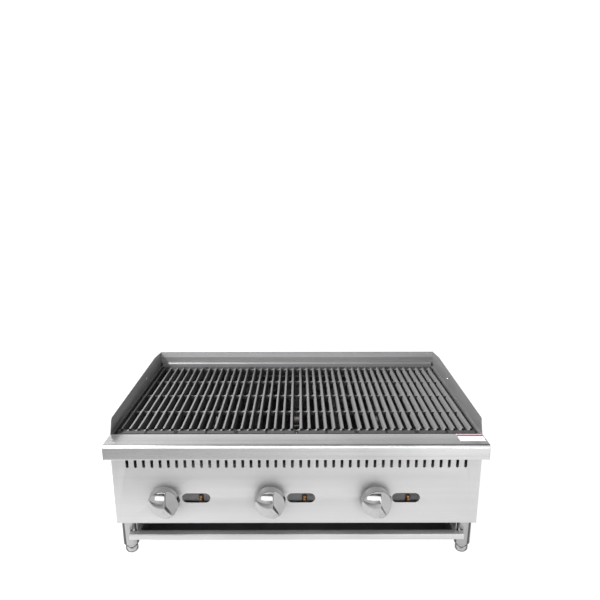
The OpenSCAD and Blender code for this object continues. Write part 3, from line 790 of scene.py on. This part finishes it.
def cross_slot(u, v):
    """Depth, from 0 to 1, of a cross-shaped driver slot."""
    half_w, half_len, blur = 0.5 * MM, 2.2 * MM, 0.4 * MM
    along_v = smoothstep(half_w + blur, half_w, abs(u)) * smoothstep(half_len + blur, half_len, abs(v))
    along_u = smoothstep(half_w + blur, half_w, abs(v)) * smoothstep(half_len + blur, half_len, abs(u))
    return max(along_v, along_u)


def add_screw(bm, centre):
    """A pan head with a cross slot, seen from +Y."""
    head, rise, slot = 4.5 * MM, 2.2 * MM, 1.2 * MM
    dome = (head * head + rise * rise) / (2 * rise)
    rings, steps = 10, 32
    loops = [[bm.verts.new(centre + Vector((0, rise - slot, 0)))]]
    for i in range(1, rings + 1):
        r = head * i / rings
        loop = []
        for k in range(steps):
            a = 2 * math.pi * k / steps
            u, v = r * math.cos(a), r * math.sin(a)
            h = rise - dome + math.sqrt(dome * dome - r * r) - slot * cross_slot(u, v)
            loop.append(bm.verts.new(centre + Vector((u, h, v))))
        loops.append(loop)
    add_rings(bm, loops)
    bm.faces.new(loops[-1])


def build_screws():
    """Pan-head screws on the rear panel, rivets on the splash guards and nuts over the legs."""
    bm = bmesh.new()
    for x in (-440, -220, 0, 220, 440):
        for z in (BASE_Z + 14 * MM, TOP_Z - 16 * MM):
            add_screw(bm, Vector((x * MM, BACK, z)))

    rivet = [(0, 0), (3.5 * MM, 0), (3.3 * MM, 0.5 * MM), (2.4 * MM, 1.1 * MM), (1.2 * MM, 1.35 * MM),
             (0, 1.4 * MM)]
    rivet_y, rivet_z = FRONT + 452 * MM, 362 * MM
    for sign in (-1, 1):
        start = len(bm.verts)
        add_lathe(bm, rivet, (0, 0, 0), steps=24)
        bm.verts.ensure_lookup_table()
        turn = Matrix.Rotation(math.radians(-90 * sign), 3, "Y")
        for vert in bm.verts[start:]:
            vert.co = turn @ vert.co + Vector((sign * INNER_W, rivet_y, rivet_z))

    bore, nut_r, soft = 6.05 * MM, 10 * MM, 0.8 * MM
    z0, z1, chamfer = BASE_Z + 3 * MM, BASE_Z + 11 * MM, 0.7 * MM
    nut = [(bore, z0), (nut_r - soft, z0), (nut_r, z0 + chamfer), (nut_r, z1 - chamfer),
           (nut_r - soft, z1), (bore, z1), (bore, z0)]
    for end in ENDS:
        low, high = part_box("leg_" + end)
        add_lathe(bm, nut, ((low.x + high.x) / 2, (low.y + high.y) / 2, 0), steps=6)
    stand_for(finish_mesh(bm, "fastener_set", 40), "chassis", "screw_steel", "fasteners")


# ---------- carried-over CAD nodes ----------

def dress_cad_nodes():
    """Gives every CAD node the material of its slot, or its own look for the front baffle and rear liner, and
    a small edge bevel except on the label.
    """
    slots = {part["node"]: part["material_slot"] for part in frame["record"]["subparts"]}
    # The front baffle's look paints its top black as shade.
    own_looks = {"front_baffle": "baffle_steel", "rear_liner": "guard_sheet"}
    for name, piece in nodes.items():
        piece.data.materials.clear()
        piece.data.materials.append(MATERIALS[own_looks.get(name, slots[name])])
        if slots[name] != "label_film":
            edge = piece.modifiers.new("edge", "BEVEL")
            edge.width = 0.3 * MM
            edge.segments = 1
            edge.limit_method = "ANGLE"
            edge.angle_limit = math.radians(50)


# ---------- stage ----------

def build_world():
    """A pale room, brighter on the left and low down."""
    world = bpy.data.worlds.new("studio")
    world.use_nodes = True
    tree = world.node_tree
    place = tree.nodes.new("ShaderNodeSeparateXYZ")
    tree.links.new(tree.nodes.new("ShaderNodeTexCoord").outputs["Generated"], place.inputs[0])

    def ramp(axis, low, high, out_low, out_high):
        made = tree.nodes.new("ShaderNodeMapRange")
        made.interpolation_type = "SMOOTHSTEP"
        for key, number in (("From Min", low), ("From Max", high), ("To Min", out_low), ("To Max", out_high)):
            made.inputs[key].default_value = number
        tree.links.new(place.outputs[axis], made.inputs["Value"])
        return made.outputs["Result"]

    level = tree.nodes.new("ShaderNodeMath")
    level.operation = "MULTIPLY"
    tree.links.new(ramp("X", -0.45, 0.45, 0.92, 0.35), level.inputs[0])
    tree.links.new(ramp("Z", 0.38, 0.7, 1.0, 0.12), level.inputs[1])
    tree.links.new(level.outputs[0], tree.nodes["Background"].inputs["Strength"])
    tree.nodes["Background"].inputs["Color"].default_value = (1, 1, 1, 1)
    scene.world = world


def softbox(name, place, target, size, power):
    """A rectangular soft light aimed at a point."""
    data = bpy.data.lights.new(name, "AREA")
    data.shape = "RECTANGLE"
    data.size, data.size_y = size
    data.energy = power
    lamp = bpy.data.objects.new(name, data)
    lamp.location = place
    lamp.rotation_euler = (Vector(target) - Vector(place)).to_track_quat("-Z", "Y").to_euler()
    scene.collection.objects.link(lamp)


def build_stage():
    """Pale floor that curves up behind, soft lights and the camera."""
    bm = bmesh.new()
    reach, half, wall, curve_r = 6, 8, 3.1, 2.5
    line = rounded([(-reach, 0), (reach, 0), (reach, wall)], [curve_r], 16)
    loops = [[bm.verts.new((x, p.x, p.y)) for p in line] for x in (-half, half)]
    for i in range(len(line) - 1):
        bm.faces.new((loops[0][i], loops[1][i], loops[1][i + 1], loops[0][i + 1]))
    floor = finish_mesh(bm, "floor", 60)
    floor.data.materials.append(floor_paper())
    build_world()
    softbox("key_left", (-1.7, -0.1, 2.17), (0, 0, 0.35), (0.35, 0.35), 165)
    softbox("front_right", (1.5, -2.3, 0.7), (0.2, -0.3, 0.25), (0.9, 0.9), 8)
    softbox("front_high", (-0.5, -2.2, 1.3), (-0.3, -0.3, 0.33), (3.6, 0.9), 21)
    softbox("overhead", (0.1, -0.95, 1.75), (0.1, -0.35, 0.33), (3.2, 0.6), 15)

    data = bpy.data.cameras.new("camera")
    data.sensor_width = 36
    data.lens = 37.33
    data.shift_y = 0.1147
    camera = bpy.data.objects.new("camera", data)
    camera.location = (0.0062, -1.6957, 0.936)
    camera.rotation_euler = (math.radians(73.2), math.radians(0.033), math.radians(-0.117))
    scene.collection.objects.link(camera)
    scene.camera = camera
    scene.view_settings.view_transform = "Standard"


build_stage()
dress_cad_nodes()
build_front_rail()
build_front_panel()
build_side_panels()
build_grates()
build_knobs()
build_legs()
build_tray()
build_screws()
